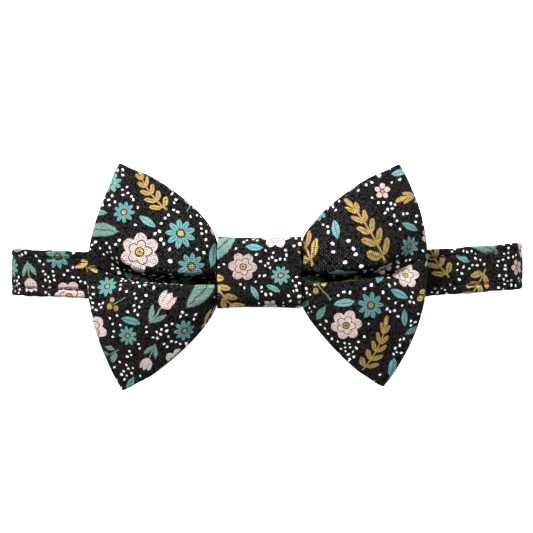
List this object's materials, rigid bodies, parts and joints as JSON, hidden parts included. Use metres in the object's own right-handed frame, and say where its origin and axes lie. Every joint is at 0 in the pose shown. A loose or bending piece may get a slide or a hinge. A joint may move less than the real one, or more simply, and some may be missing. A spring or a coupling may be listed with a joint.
{
  "type": "pet bow tie collar",
  "caption": "Cloth-covered strap closed in a loop with a clasp, carrying a pinched cloth bow tie whose knot is held on by an elastic keeper.",
  "frame": {"origin": "on the surface the collar lies on, below the middle of the object's outline seen from above", "axes": "+Z up, away from the neck and out of the bow's face; +X along the collar, to the right in front of the bow; +Y up for the wearer"},
  "size_m": [0.141, 0.0616, 0.0405],
  "materials": {
    "printed_cotton": "matt woven cotton with a small printed pattern",
    "black_elastic": "ribbed woven elastic",
    "black_plastic": "fine moulded texture"
  },
  "bodies": {
    "root": {"bow": "printed_cotton", "knot": "printed_cotton", "strap": "printed_cotton", "keeper_loop": "black_elastic", "clasp": "black_plastic"}
  },
  "joints": []
}
